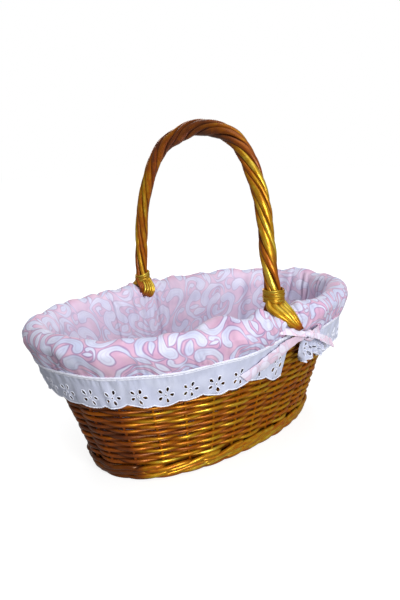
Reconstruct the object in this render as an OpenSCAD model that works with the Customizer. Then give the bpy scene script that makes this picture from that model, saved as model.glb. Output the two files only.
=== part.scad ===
// Oval wicker basket with a fixed roped bow handle and a tied fabric liner.
// Millimetres. X is the long axis, Y runs from foot to foot of the handle,
// Z is up, and the origin is the middle of the footprint on the ground.

/* [Wicker body] */
// Half length at the base, to the middle of the uprights
base_a = 137.5; // [133:0.5:142]
// Half width at the base, to the middle of the uprights
base_b = 70; // [67:0.5:72]
// Half length of the border's centre line
rim_a = 188; // [182:1:194]
// Half width of the border's centre line
rim_b = 108; // [106:0.5:110]
// Height of the border's centre line
rim_z = 140; // [138:1:143]
// Squareness of the oval: 2 is an ellipse
oval_n = 2.3; // [2:0.05:2.6]
// Number of uprights
stake_n = 28; // [24:4:36]
// Diameter of an upright
stake_d = 3.8; // [3.4:0.1:4.4]
// Thickness of the weaving on each side of the uprights
weave_t = 3.5; // [3:0.1:3.6]
// Radius of the rolled border
border_r = 8; // [7:0.25:8]

/* [Base] */
// Diameter of the long sticks
long_d = 4.6; // [4:0.1:5]
// Diameter of the split cross sticks
cross_d = 7; // [6.4:0.1:7]
// Number of long sticks
long_n = 5; // [3:2:5]
// Number of cross sticks
cross_n = 9; // [7:2:9]

/* [Handle] */
// Half distance between the feet, to the rod's centre
bow_w = 100; // [98:0.5:102]
// Height of the bow's centre line at its top
bow_top = 325; // [300:1:360]
// Squareness of the bow
bow_n = 2.4; // [2.1:0.05:2.7]
// Radius of the bow rod
core_r = 3.1; // [2.6:0.1:3.2]
// Radius of each roped strand
strand_r = 2.55; // [2.2:0.05:2.6]
// Number of roped strands
strand_n = 6; // [5:1:6]
// Length of one full turn of the rope
rope_pitch = 130; // [100:5:180]

/* [Liner] */
// Thickness of the cloth
cloth_t = 1.2; // [0.8:0.1:1.4]
// Height of the seam between the cuff and the trim
seam_z = 118; // [114:1:121]
// Height of the trim's lower edge
hem_z = 87; // [80:1:94]
// Half width of the slit at each handle foot
slit_w = 13; // [12:0.5:16]
// Distance past a handle foot at which a length of trim starts
trim_from = 25; // [20:1:30]
// Distance past the other handle foot at which it stops
trim_to = 6.5; // [0:0.5:10]

/* [Hidden] */

willow = "#a8741e";
willow_dark = "#7c4a16";
print_cloth = "#ecc6da";
trim_cloth = "#f2f1f6";

seg = 104;          // steps round the oval
base_z = 6;         // height where base_a and base_b are measured
stick_z = 8;        // height of the base sticks' centre line
bow_z = 150;        // height the bow's curve is measured from
bow_end = 6;        // polar angle of the bow's curve at the collar
gap = stake_d / 2 + 0.1;

// ---- the oval and the flared side ----
function polar(a, b, n, t) =
  let (r = pow(pow(abs(cos(t)) / a, n) + pow(abs(sin(t)) / b, n), -1 / n)) [r * cos(t), r * sin(t)];
function arc_table(a, b) =
  [for (i = 0, s = 0; i <= 720;
        s = s + norm(polar(a, b, oval_n, (i + 1) / 2) - polar(a, b, oval_n, i / 2)), i = i + 1) [s, i / 2]];
t0 = arc_table(base_a, base_b);
t1 = arc_table(rim_a, rim_b);
function ang(tab, s) = lookup((s - floor(s)) * tab[720][0], tab);
// the middle of the side at arc fraction s and height z
function side(s, z) =
  let (k = min(1, (z - base_z) / (rim_z - base_z)))
  polar(base_a, base_b, oval_n, ang(t0, s)) * (1 - k) + polar(rim_a, rim_b, oval_n, ang(t1, s)) * k;
function outward(s) =
  let (p = polar(rim_a, rim_b, oval_n, ang(t1, s)),
       g = [sign(p[0]) * pow(abs(p[0]) / rim_a, oval_n - 1) / rim_a,
            sign(p[1]) * pow(abs(p[1]) / rim_b, oval_n - 1) / rim_b]) g / norm(g);
// a point d outside the middle of the side
function pt(s, d, z) = let (w = side(s, z) + d * outward(s)) [w[0], w[1], z];
function oval_pts(d, z) = [for (i = [0 : seg - 1]) let (p = pt(i / seg, d, z)) [p[0], p[1]]];

// a closed ring: prof is [d, z] anticlockwise
module ring(prof) {
  m = len(prof);
  polyhedron(
    points = [for (i = [0 : seg - 1], q = prof) pt(i / seg, q[0], q[1])],
    faces = [for (i = [0 : seg - 1], j = [0 : m - 1])
      let (i2 = (i + 1) % seg, j2 = (j + 1) % m, a = i * m + j, b = i * m + j2, c = i2 * m + j2, d = i2 * m + j)
      each [[a, b, c], [a, c, d]]]);
}
// an open band: outer and inner are lists of [d, z], lower end first on the outer side
module band(outer, inner, s0, s1, steps) {
  k = len(outer);
  m = 2 * k;
  prof = concat(outer, [for (j = [k - 1 : -1 : 0]) inner[j]]);
  polyhedron(
    points = [for (i = [0 : steps], q = prof) pt(s0 + (s1 - s0) * i / steps, q[0], q[1])],
    faces = concat(
      [for (i = [0 : steps - 1], j = [0 : m - 1])
        let (j2 = (j + 1) % m, a = i * m + j, b = i * m + j2, c = (i + 1) * m + j2, d = (i + 1) * m + j)
        each [[a, b, c], [a, c, d]]],
      [for (j = [0 : k - 2]) let (a = j, b = j + 1, c = m - 2 - j, d = m - 1 - j) each [[a, c, b], [a, d, c]]],
      [for (j = [0 : k - 2]) let (e = steps * m, a = e + j, b = e + j + 1, c = e + m - 2 - j, d = e + m - 1 - j)
        each [[a, b, c], [a, c, d]]]));
}
// a closed band from one list of [d, z, radial thickness], lower end first
function out_side(line) = [for (q = line) [q[0] + q[2] / 2, q[1]]];
function in_side(line) = [for (q = line) [q[0] - q[2] / 2, q[1]]];
module shell(line) {
  o = out_side(line);
  i = in_side(line);
  ring(concat(o, [for (j = [len(i) - 1 : -1 : 0]) i[j]]));
}

// ---- tubes and flat strips along a path ----
function unit(v) = v / norm(v);
function tang(p, i) = unit(p[min(i + 1, len(p) - 1)] - p[max(i - 1, 0)]);
module tube(path, radii, sides) {
  n = len(path);
  polyhedron(
    points = [for (i = [0 : n - 1])
      let (t = tang(path, i), u = unit([1, 0, 0] - t[0] * t), v = cross(t, u), r = is_list(radii) ? radii[i] : radii)
      each [for (j = [0 : sides - 1]) path[i] + r * (cos(360 * j / sides) * u + sin(360 * j / sides) * v)]],
    faces = concat(
      [for (i = [0 : n - 2], j = [0 : sides - 1])
        let (j2 = (j + 1) % sides, a = i * sides + j, b = i * sides + j2, c = (i + 1) * sides + j2, d = (i + 1) * sides + j)
        each [[a, c, b], [a, d, c]]],
      [[for (j = [0 : sides - 1]) j]],
      [[for (j = [sides - 1 : -1 : 0]) (n - 1) * sides + j]]));
}
// a flat strip of cloth whose broad face looks along -Y
module strip(path, w, t) {
  n = len(path);
  polyhedron(
    points = [for (i = [0 : n - 1])
      let (f = tang(path, i), u = unit(cross(f, [0, -1, 0])), v = cross(f, u))
      each [path[i] - w / 2 * u - t / 2 * v, path[i] + w / 2 * u - t / 2 * v,
            path[i] + w / 2 * u + t / 2 * v, path[i] - w / 2 * u + t / 2 * v]],
    faces = concat(
      [for (i = [0 : n - 2], j = [0 : 3])
        let (j2 = (j + 1) % 4, a = i * 4 + j, b = i * 4 + j2, c = (i + 1) * 4 + j2, d = (i + 1) * 4 + j)
        each [[a, c, b], [a, d, c]]],
      [[0, 1, 2], [0, 2, 3]],
      [let (e = (n - 1) * 4) [e + 2, e + 1, e], let (e = (n - 1) * 4) [e + 3, e + 2, e]]));
}

// ---- base ----
function half_x(y) = (base_a - 5) * pow(1 - pow(abs(y) / (base_b - 5), oval_n), 1 / oval_n);
function half_y(x) = (base_b - 5) * pow(1 - pow(abs(x) / (base_a - 5), oval_n), 1 / oval_n);
module long_rods(d) {
  for (i = [0 : long_n - 1]) {
    y = (i - (long_n - 1) / 2) * 12;
    translate([-half_x(y), y, stick_z]) rotate([0, 90, 0]) cylinder(h = 2 * half_x(y), d = d, $fn = 32);
  }
}
module base_long_sticks() { color(willow) long_rods(long_d); }
module base_cross_sticks() {
  color(willow) difference() {
    for (i = [0 : cross_n - 1]) {
      x = (i - (cross_n - 1) / 2) * 22;
      translate([x, half_y(x), stick_z]) rotate([90, 0, 0]) cylinder(h = 2 * half_y(x), d = cross_d, $fn = 32);
    }
    long_rods(long_d);
  }
}
module base_weave_under() {
  color(willow_dark) translate([0, 0, 2]) linear_extrude(2.4) polygon(oval_pts(-7, base_z));
}
module base_weave_top() {
  color(willow_dark) translate([0, 0, 11.8]) linear_extrude(2.4) polygon(oval_pts(-7, 11.8));
}
module foot_border() {
  color(willow) ring([[-5.5, 0], [2.5, 0], [4, 1.5], [4, 4.2], [-6.5, 4.2], [-6.5, 1]]);
}

// ---- side ----
module bottom_wale() {
  color(willow) ring([for (i = [0 : 7]) [gap + 2.5 + 2.5 * cos(45 * i), 9.5 + 5.1 * sin(45 * i)]]);
}
module side_stakes() {
  color(willow) for (i = [0 : stake_n - 1]) {
    p = pt((i + 0.5) / stake_n, 0, 5.2);
    q = pt((i + 0.5) / stake_n, 0, 131);
    v = q - p;
    translate(p) rotate([0, acos(v[2] / norm(v)), atan2(v[1], v[0])])
      cylinder(h = norm(v), d = stake_d, $fn = 24);
  }
}
module outer_weave() {
  color(willow) shell([for (z = [14.8, 53, 92, 131.4]) [gap + weave_t / 2, z, weave_t]]);
}
module inner_weave() {
  color(willow_dark) difference() {
    shell([for (z = [14.6, 53, 92, 131.4]) [-gap - weave_t / 2, z, weave_t]]);
    // the gap in the weaving where each handle end goes in
    translate([-4, -200, 116]) cube([8, 400, 40]);
  }
}
module rim_border() {
  color(willow) ring([for (i = [0 : 9]) [border_r * cos(36 * i), rim_z + border_r * sin(36 * i)]]);
}

// ---- handle ----
function bow(t) = let (p = polar(bow_w, bow_top - bow_z, bow_n, t)) [0, -p[0], bow_z + p[1]];
function gap_y(z) = side(0.25, z)[1];
bow_steps = 44;
bow_path = [for (i = [0 : bow_steps]) bow(bow_end + (180 - 2 * bow_end) * i / bow_steps)];
foot_y = bow_w - 5.5;
foot_path = [[0, -gap_y(60), 60], [0, -gap_y(118), 118], [0, -foot_y - 5, 127], [0, -foot_y - 0.6, 131],
             [0, -foot_y, 135], [0, -foot_y, 143], [0, -foot_y - 2.5, 151]];
foot_r = [1.2, 1.8, 1.8, 2.4, core_r, core_r, core_r];
module handle_core() {
  color(willow_dark) tube(
    concat(foot_path, bow_path, [for (i = [len(foot_path) - 1 : -1 : 0]) [0, -foot_path[i][1], foot_path[i][2]]]),
    concat(foot_r, [for (p = bow_path) core_r], [for (i = [len(foot_r) - 1 : -1 : 0]) foot_r[i]]), 10);
}
// distance along the bow, for the rope's turn
rope_steps = 54;
function rope_t(i) = bow_end + (180 - 2 * bow_end) * i / rope_steps;
rope_len = [for (i = 0, s = 0; i <= rope_steps; s = s + norm(bow(rope_t(i + 1)) - bow(rope_t(i))), i = i + 1) s];
rope_r = core_r + strand_r + 0.1;
function rope_pt(i, k) =
  let (t = rope_t(i), c = bow(t), f = unit(bow(t + 0.5) - bow(t - 0.5)), u = [1, 0, 0], v = cross(f, u),
       w = -360 * rope_len[i] / rope_pitch + 360 * k / strand_n)
  c + rope_r * (cos(w) * u + sin(w) * v);
module handle_strands() {
  color(willow) for (k = [0 : strand_n - 1]) tube([for (i = [0 : rope_steps]) rope_pt(i, k)], strand_r, 6);
}
collar_r = rope_r + strand_r + 1.7;
module collar() {
  f = unit(bow(8.5) - bow(6.5));
  for (i = [0 : 3])
    translate(bow(7.5) + f * (i - 1.5) * 3.3) rotate([atan2(-f[1], f[2]), 0, 0])
      rotate_extrude($fn = 64) translate([collar_r, 0]) circle(r = 1.6, $fn = 24);
}
module near_collar() { color(willow) collar(); }
module far_collar() { color(willow) mirror([0, 1, 0]) collar(); }
module outer_lash() {
  for (k = [-1 : 1])
    tube([[k * 5.2, -rim_b + 2.4, rim_z + 16], [k * 5.3, -rim_b - 3, rim_z + 12.5], [k * 5.3, -rim_b - 8, rim_z + 8.4],
          [k * 5.1, -rim_b - 11, rim_z + 2], [k * 4.2, -rim_b - 10.8, rim_z - 4], [k * 3, -rim_b - 8.4, rim_z - 8.8]],
         [2.4, 2.5, 2.5, 2.4, 1.8, 1.2], 8);
}
module inner_lash() {
  for (k = [-1 : 1])
    tube([[k * 5.2, -foot_y + 2.4, rim_z + 16], [k * 5.3, -foot_y + 5.6, rim_z + 9], [k * 5.3, -foot_y + 5.8, rim_z + 1],
          [k * 5, -foot_y + 5, rim_z - 6], [k * 4.4, -foot_y + 2.6, rim_z - 10]],
         [2.4, 2.5, 2.5, 2.3, 1.2], 8);
}
module near_outer_lashing() { color(willow) outer_lash(); }
module near_inner_lashing() { color(willow) inner_lash(); }
module far_outer_lashing() { color(willow) mirror([0, 1, 0]) outer_lash(); }
module far_inner_lashing() { color(willow) mirror([0, 1, 0]) inner_lash(); }

// ---- liner ----
lin_d = -gap - weave_t - 0.4 - cloth_t / 2;
roll_r = border_r + 2.6;
module liner_floor() {
  color(print_cloth) translate([0, 0, 14.5]) linear_extrude(cloth_t) polygon(oval_pts(-7, 14.5));
}
// a panel's line: up the outside of the cuff, over the border and down the inside to the floor
cuff_line = concat(
  [[9, seam_z + 0.3], [9.8, seam_z + 9], [roll_r, rim_z - 11]],
  [for (w = [0 : 20 : 180]) [roll_r * cos(w), rim_z + roll_r * sin(w)]],
  [[-roll_r, rim_z - 7.5], [lin_d, 123], [lin_d, 15.9]]);
function cuff_norm(i) =
  let (a = cuff_line[max(i - 1, 0)], b = cuff_line[min(i + 1, len(cuff_line) - 1)], f = unit(b - a)) [f[1], -f[0]];
cuff_out = [for (i = [0 : len(cuff_line) - 1]) cuff_line[i] + cloth_t / 2 * cuff_norm(i)];
cuff_in = [for (i = [0 : len(cuff_line) - 1]) cuff_line[i] - cloth_t / 2 * cuff_norm(i)];
module half(outer, inner, right, from = 0.1, to = -0.1) {
  girth = t1[720][0];
  band(outer, inner, (right ? -0.25 : 0.25) + from / girth, (right ? 0.25 : 0.75) + to / girth, 52);
}
// the slits for the handle feet; below them the two panels are sewn together
module slits() {
  for (m = [0, 1]) mirror([0, m, 0]) translate([-slit_w, -200, seam_z - 1]) cube([2 * slit_w, 200 - rim_b, 80]);
  translate([-slit_w, -rim_b - 1, 122]) cube([2 * slit_w, 2 * rim_b + 2, 80]);
}
module left_panel() { color(print_cloth) difference() { half(cuff_out, cuff_in, false); slits(); } }
module right_panel() { color(print_cloth) difference() { half(cuff_out, cuff_in, true); slits(); } }
head_out = [[10, seam_z - 3.8], [10, seam_z]];
head_in = [[8, seam_z - 3.8], [8, seam_z]];
module left_heading() { color(trim_cloth) half(head_out, head_in, false, trim_from, trim_to); }
module right_heading() { color(trim_cloth) half(head_out, head_in, true, trim_from, trim_to); }
lace_out = [[8.5, hem_z], [9.4, seam_z - 4.1]];
lace_in = [[7.5, hem_z], [8.4, seam_z - 4.1]];
module left_lace() { color(trim_cloth) half(lace_out, lace_in, false, trim_from, trim_to); }
module right_lace() { color(trim_cloth) half(lace_out, lace_in, true, trim_from, trim_to); }

// ---- ties ----
// each is drawn at the near foot; the far one is the same, turned half round
knot_at = [16, -rim_b - 17.5, rim_z - 15.5];
module knot() {
  translate(knot_at) rotate([0, 90, 0])
    rotate_extrude($fn = 48) polygon([[0, -8], [3.2, -7], [5, -3], [5, 3], [3.2, 7], [0, 8]]);
}
left_strap_path = [[-25, -rim_b - 7.9, rim_z - 16], [-14, -rim_b - 10.2, rim_z - 15.5], [-2, -rim_b - 13.5, rim_z - 15.5],
                   [7.4, -rim_b - 16, rim_z - 15.5]];
right_strap_path = [[48, -rim_b - 6.5, rim_z - 17], [36, -rim_b - 11, rim_z - 16.2], [24.6, -rim_b - 16.2, rim_z - 15.5]];
left_path = [[7.6, -rim_b - 19.6, rim_z - 17.4], [-4, -rim_b - 17.2, rim_z - 21.4], [-20, -rim_b - 9.5, rim_z - 27],
             [-40, -rim_b - 3.2, rim_z - 33.4], [-58, -rim_b + 2.2, rim_z - 41]];
right_path = [[24.4, -rim_b - 19.4, rim_z - 17.2], [36, -rim_b - 17.5, rim_z - 21.6], [52, -rim_b - 12.5, rim_z - 28.6],
              [66, -rim_b - 7.4, rim_z - 35], [80, -rim_b - 2.2, rim_z - 41.4]];
module far() { rotate([0, 0, 180]) children(); }
module near_left_strap() { color(print_cloth) strip(left_strap_path, 8, 1.6); }
module near_right_strap() { color(print_cloth) strip(right_strap_path, 8, 1.6); }
module near_knot() { color(print_cloth) knot(); }
module near_left_tail() { color(print_cloth) strip(left_path, 11, 1.6); }
module near_right_tail() { color(print_cloth) strip(right_path, 10, 1.6); }
module far_left_strap() { color(print_cloth) far() strip(left_strap_path, 8, 1.6); }
module far_right_strap() { color(print_cloth) far() strip(right_strap_path, 8, 1.6); }
module far_knot() { color(print_cloth) far() knot(); }
module far_left_tail() { color(print_cloth) far() strip(left_path, 11, 1.6); }
module far_right_tail() { color(print_cloth) far() strip(right_path, 10, 1.6); }

base_long_sticks();
base_cross_sticks();
base_weave_under();
base_weave_top();
foot_border();
bottom_wale();
side_stakes();
outer_weave();
inner_weave();
rim_border();
handle_core();
handle_strands();
near_collar();
far_collar();
near_outer_lashing();
near_inner_lashing();
far_outer_lashing();
far_inner_lashing();
liner_floor();
left_panel();
right_panel();
left_heading();
right_heading();
left_lace();
right_lace();
near_left_strap();
near_right_strap();
near_knot();
near_left_tail();
near_right_tail();
far_left_strap();
far_right_strap();
far_knot();
far_left_tail();
far_right_tail();
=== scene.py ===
import math

import bpy
import numpy as np
from mathutils import Matrix, Vector
from mathutils.geometry import delaunay_2d_cdt


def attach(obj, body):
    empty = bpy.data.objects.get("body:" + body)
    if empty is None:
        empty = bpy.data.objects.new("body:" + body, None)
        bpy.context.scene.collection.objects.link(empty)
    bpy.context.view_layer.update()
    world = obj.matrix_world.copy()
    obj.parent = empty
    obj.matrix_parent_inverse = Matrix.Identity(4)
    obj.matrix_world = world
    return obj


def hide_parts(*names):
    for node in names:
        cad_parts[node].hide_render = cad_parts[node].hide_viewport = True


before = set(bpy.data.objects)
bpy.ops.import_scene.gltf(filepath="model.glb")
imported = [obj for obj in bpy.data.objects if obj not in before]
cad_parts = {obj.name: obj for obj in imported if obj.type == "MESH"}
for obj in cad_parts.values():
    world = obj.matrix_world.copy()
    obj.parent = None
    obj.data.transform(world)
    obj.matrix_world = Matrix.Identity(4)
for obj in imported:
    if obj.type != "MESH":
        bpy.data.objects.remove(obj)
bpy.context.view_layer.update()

# All shape code is in millimetres, in the frame of the CAD, and make() turns it into metres.
MM = 0.001
BASE_A, BASE_B, RIM_A, RIM_B, OVAL_N = 137.5, 70.0, 188.0, 108.0, 2.3
BASE_Z, RIM_Z, STICK_Z = 6.0, 140.0, 8.0
STAKES, ROWS, PITCH = 28, 33, 3.5
SEAM_Z, HEM_Z = 118.0, 87.0
PI = math.pi


# ---------------------------------------------------------------- numbers
def unit(v):
    return v / np.maximum(np.linalg.norm(v, axis=-1, keepdims=True), 1e-9)


def smooth(lo, hi, x):
    t = np.clip((np.asarray(x, float) - lo) / (hi - lo), 0, 1)
    return t * t * (3 - 2 * t)


def bell(x, at, width):
    return np.exp(-(((np.asarray(x, float) - at) / width) ** 2))


def spline(points, n):
    """n points along a Catmull-Rom curve through points, evenly spaced by length."""
    p = np.asarray(points, float)
    q = np.vstack([2 * p[0] - p[1], p, 2 * p[-1] - p[-2]])
    out = []
    for i in range(1, len(q) - 2):
        t = np.linspace(0, 1, 24, endpoint=i == len(q) - 3)[:, None]
        a, b, c, d = q[i - 1 : i + 3]
        out.append(0.5 * (2 * b + (c - a) * t + (2 * a - 5 * b + 4 * c - d) * t**2 + (3 * b - a - 3 * c + d) * t**3))
    f = np.vstack(out)
    return along(f, n)


def along(f, n):
    s = np.concatenate([[0], np.cumsum(np.linalg.norm(np.diff(f, axis=0), axis=1))])
    u = np.linspace(0, s[-1], n)
    return np.stack([np.interp(u, s, f[:, k]) for k in range(f.shape[1])], -1)


class Field:
    """A smooth random field over one or two coordinates, a sum of seeded waves."""

    def __init__(self, seed, low, high, n=24, stretch=1.0):
        r = np.random.default_rng(seed)
        lam = np.exp(r.uniform(math.log(low), math.log(high), n))
        a = r.uniform(0, 2 * PI, n)
        self.kx = 2 * PI / lam * np.cos(a)
        self.ky = 2 * PI / lam * np.sin(a) / stretch
        self.ph = r.uniform(0, 2 * PI, n)
        self.w = lam**0.5 / np.linalg.norm(lam**0.5)

    def __call__(self, x, y=0.0):
        x, y = np.broadcast_arrays(np.asarray(x, float), np.asarray(y, float))
        v = np.zeros(x.shape)
        for kx, ky, ph, w in zip(self.kx, self.ky, self.ph, self.w):
            v += w * np.sin(kx * x + ky * y + ph)
        return v * 1.4


class Loop:
    """A smooth random function of arc fraction s, the same at s and s + 1."""

    def __init__(self, seed, low, high):
        r = np.random.default_rng(seed)
        self.f = np.arange(low, high + 1)
        self.a = r.normal(size=len(self.f)) / math.sqrt(len(self.f))
        self.p = r.uniform(0, 2 * PI, len(self.f))

    def __call__(self, s):
        s = np.asarray(s, float)
        return sum(a * np.sin(2 * PI * f * s + p) for f, a, p in zip(self.f, self.a, self.p))


# ---------------------------------------------------------------- the oval and the flared side
def polar(a, b, n, t):
    c, s = np.cos(t), np.sin(t)
    r = ((np.abs(c) / a) ** n + (np.abs(s) / b) ** n) ** (-1 / n)
    return np.stack([r * c, r * s], -1)


def arc_table(a, b):
    t = np.linspace(0, 2 * PI, 1441)
    p = polar(a, b, OVAL_N, t)
    s = np.concatenate([[0], np.cumsum(np.linalg.norm(np.diff(p, axis=0), axis=1))])
    return s / s[-1], t, s[-1]


T0, T1 = arc_table(BASE_A, BASE_B), arc_table(RIM_A, RIM_B)
GIRTH = T1[2]


def base_oval(s):
    return polar(BASE_A, BASE_B, OVAL_N, np.interp(np.mod(s, 1), T0[0], T0[1]))


def rim_oval(s):
    return polar(RIM_A, RIM_B, OVAL_N, np.interp(np.mod(s, 1), T1[0], T1[1]))


def side(s, z):
    s, z = np.broadcast_arrays(np.asarray(s, float), np.asarray(z, float))
    k = np.minimum(1, (z - BASE_Z) / (RIM_Z - BASE_Z))[..., None]
    return base_oval(s) * (1 - k) + rim_oval(s) * k


def outward(s):
    p = rim_oval(np.asarray(s, float))
    h = np.array([RIM_A, RIM_B])
    return unit(np.sign(p) * (np.abs(p) / h) ** (OVAL_N - 1) / h)


def pt(s, d, z):
    s, d, z = np.broadcast_arrays(*(np.asarray(v, float) for v in (s, d, z)))
    return np.concatenate([side(s, z) + d[..., None] * outward(s), z[..., None]], -1)


def woven_pt(s, d, z, straight=0.65):
    """As pt, with the side nearly straight from upright to upright."""
    s, d, z = np.broadcast_arrays(*(np.asarray(v, float) for v in (s, d, z)))
    q = s * STAKES - 0.5
    k = np.floor(q)
    f = (q - k)[..., None]
    flat = side((k + 0.5) / STAKES, z) * (1 - f) + side((k + 1.5) / STAKES, z) * f
    w = side(s, z) * (1 - straight) + flat * straight + d[..., None] * outward(s)
    return np.concatenate([w, z[..., None]], -1)


# ---------------------------------------------------------------- meshes
class Build:
    """Collects vertices, faces and, per vertex, a texture place and a tone."""

    def __init__(self):
        self.v, self.f, self.co, self.tone, self.n = [], [], [], [], 0

    def add(self, verts, faces, co, tone):
        verts = np.asarray(verts, float).reshape(-1, 3)
        m = len(verts)
        self.v.append(verts)
        self.co.append(np.broadcast_to(np.asarray(co, float), (m, 3)))
        self.tone.append(np.broadcast_to(np.asarray(tone, float), (m, 3)))
        self.f.extend(tuple(int(i) + self.n for i in q) for q in faces)
        self.n += m


def grid_faces(n, m, wrap_n=False, wrap_m=False):
    """Quads of an n by m grid of vertices."""
    i = np.arange(n if wrap_n else n - 1)[:, None]
    j = np.arange(m if wrap_m else m - 1)[None, :]
    a = i * m + j
    b = i * m + (j + 1) % m
    c = ((i + 1) % n) * m + (j + 1) % m
    d = ((i + 1) % n) * m + j
    return np.stack([x.ravel() for x in np.broadcast_arrays(a, b, c, d)], -1).tolist()


rod_count = [0]


def sweep(b, path, radius, sides=8, closed=False, ref=(0, 0, 1), tone=(0.5, 0.5, 1.0), gold=None, squash=1.0, painted_shade_map=None):
    """A rod along path. ref fixes the section's turn, and squash its width across ref."""
    p = np.asarray(path, float)
    n = len(p)
    if closed:
        t = unit(np.roll(p, -1, 0) - np.roll(p, 1, 0))
    else:
        t = unit(np.gradient(p, axis=0))
    ref = np.broadcast_to(np.asarray(ref, float), (n, 3))
    u = unit(ref - (ref * t).sum(-1, keepdims=True) * t)
    v = np.cross(t, u)
    r = np.broadcast_to(np.asarray(radius, float), (n,))[:, None, None]
    a = np.linspace(0, 2 * PI, sides, endpoint=False)[None, :, None]
    off = r * (np.cos(a) * u[:, None, :] + squash * np.sin(a) * v[:, None, :])
    verts = p[:, None, :] + off
    faces = [q[::-1] for q in grid_faces(n, sides, closed, True)]
    if not closed:
        faces += [tuple(range(sides - 1, -1, -1))[::-1], tuple(range((n - 1) * sides, n * sides))[::-1]]
    step = np.concatenate([[0], np.cumsum(np.linalg.norm(np.diff(p, axis=0), axis=1))])
    rod_count[0] += 1
    co = np.zeros((n, sides, 3))
    co[..., 0] = step[:, None] + 173.0 * (rod_count[0] % 97)
    co[..., 1] = (r * np.cos(a))[..., 0]
    co[..., 2] = (r * np.sin(a))[..., 0]
    tn = np.zeros((n, sides, 3)) + np.asarray(tone, float)
    if gold is not None:
        tn[..., 1] = gold(verts) if callable(gold) else np.asarray(gold, float)
    # the tone's third part, where given, is painted shade that darkens the colour
    if painted_shade_map is not None:
        tn[..., 2] = painted_shade_map(verts)
    b.add(verts, faces, co.reshape(-1, 3), tn.reshape(-1, 3))
    return verts


def make(name, b, material, nodes=()):
    me = bpy.data.meshes.new(name)
    me.from_pydata((np.concatenate(b.v) * MM).tolist(), [], b.f)
    place = me.attributes.new("place", "FLOAT_VECTOR", "POINT")
    place.data.foreach_set("vector", np.concatenate(b.co).astype(np.float32).ravel())
    tone = me.attributes.new("tone", "FLOAT_VECTOR", "POINT")
    tone.data.foreach_set("vector", np.concatenate(b.tone).astype(np.float32).ravel())
    me.polygons.foreach_set("use_smooth", [True] * len(me.polygons))
    me.materials.append(material)
    me.update()
    ob = bpy.data.objects.new(name, me)
    bpy.context.scene.collection.objects.link(ob)
    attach(ob, "root")
    if nodes:
        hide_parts(*nodes)
    return ob


# ---------------------------------------------------------------- materials
class Nodes:
    def __init__(self, name):
        self.mat = bpy.data.materials.new(name)
        self.mat.use_nodes = True
        self.tree = self.mat.node_tree
        self.shader = next(n for n in self.tree.nodes if n.type == "BSDF_PRINCIPLED")

    def put(self, socket, value):
        if isinstance(value, bpy.types.NodeSocket):
            self.tree.links.new(value, socket)
        else:
            socket.default_value = value

    def new(self, kind, out=0, props=None, **inputs):
        n = self.tree.nodes.new(kind)
        for k, v in (props or {}).items():
            setattr(n, k, v)
        for k, v in inputs.items():
            key = int(k[1:]) if k[0] == "i" and k[1:].isdigit() else k.replace("_", " ")
            self.put(n.inputs[key], v)
        return n.outputs[out]

    def math(self, op, a, b=0.0, c=0.0):
        return self.new("ShaderNodeMath", props={"operation": op}, i0=a, i1=b, i2=c)

    def vec(self, op, a, b=(0, 0, 0), c=(0, 0, 0), out=0):
        return self.new("ShaderNodeVectorMath", out=out, props={"operation": op}, i0=a, i1=b, i2=c)

    def attr(self, name):
        n = self.tree.nodes.new("ShaderNodeAttribute")
        n.attribute_name = name
        return n.outputs["Vector"]

    def split(self, v):
        n = self.tree.nodes.new("ShaderNodeSeparateXYZ")
        self.put(n.inputs[0], v)
        return n.outputs

    def noise(self, v, scale, detail=2.0, rough=0.5, kind="Fac"):
        n = self.tree.nodes.new("ShaderNodeTexNoise")
        self.put(n.inputs["Vector"], v)
        n.inputs["Scale"].default_value = scale
        n.inputs["Detail"].default_value = detail
        n.inputs["Roughness"].default_value = rough
        return n.outputs[kind]

    def remap(self, v, a, b, c=0.0, d=1.0, smooth=False):
        return self.new("ShaderNodeMapRange", props={"interpolation_type": "SMOOTHSTEP" if smooth else "LINEAR"},
                        i0=v, i1=a, i2=b, i3=c, i4=d)

    def ramp(self, v, stops):
        n = self.tree.nodes.new("ShaderNodeValToRGB")
        e = n.color_ramp.elements
        while len(e) < len(stops):
            e.new(0.5)
        for el, (at, col) in zip(e, stops):
            el.position = at
            el.color = (*col, 1)
        self.put(n.inputs[0], v)
        return n.outputs[0]

    def mix(self, fac, a, b, kind="MIX"):
        n = self.tree.nodes.new("ShaderNodeMix")
        n.data_type = "RGBA"
        n.blend_type = kind
        self.put(n.inputs[0], fac)
        for i, c in ((6, a), (7, b)):
            self.put(n.inputs[i], c if isinstance(c, bpy.types.NodeSocket) else (*c, 1))
        return n.outputs[2]

    def bump(self, height, strength, distance):
        return self.new("ShaderNodeBump", Strength=strength, Distance=distance, Height=height)

    def set(self, **inputs):
        for k, v in inputs.items():
            self.put(self.shader.inputs[k.replace("_", " ")], v)
        return self.mat


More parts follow.
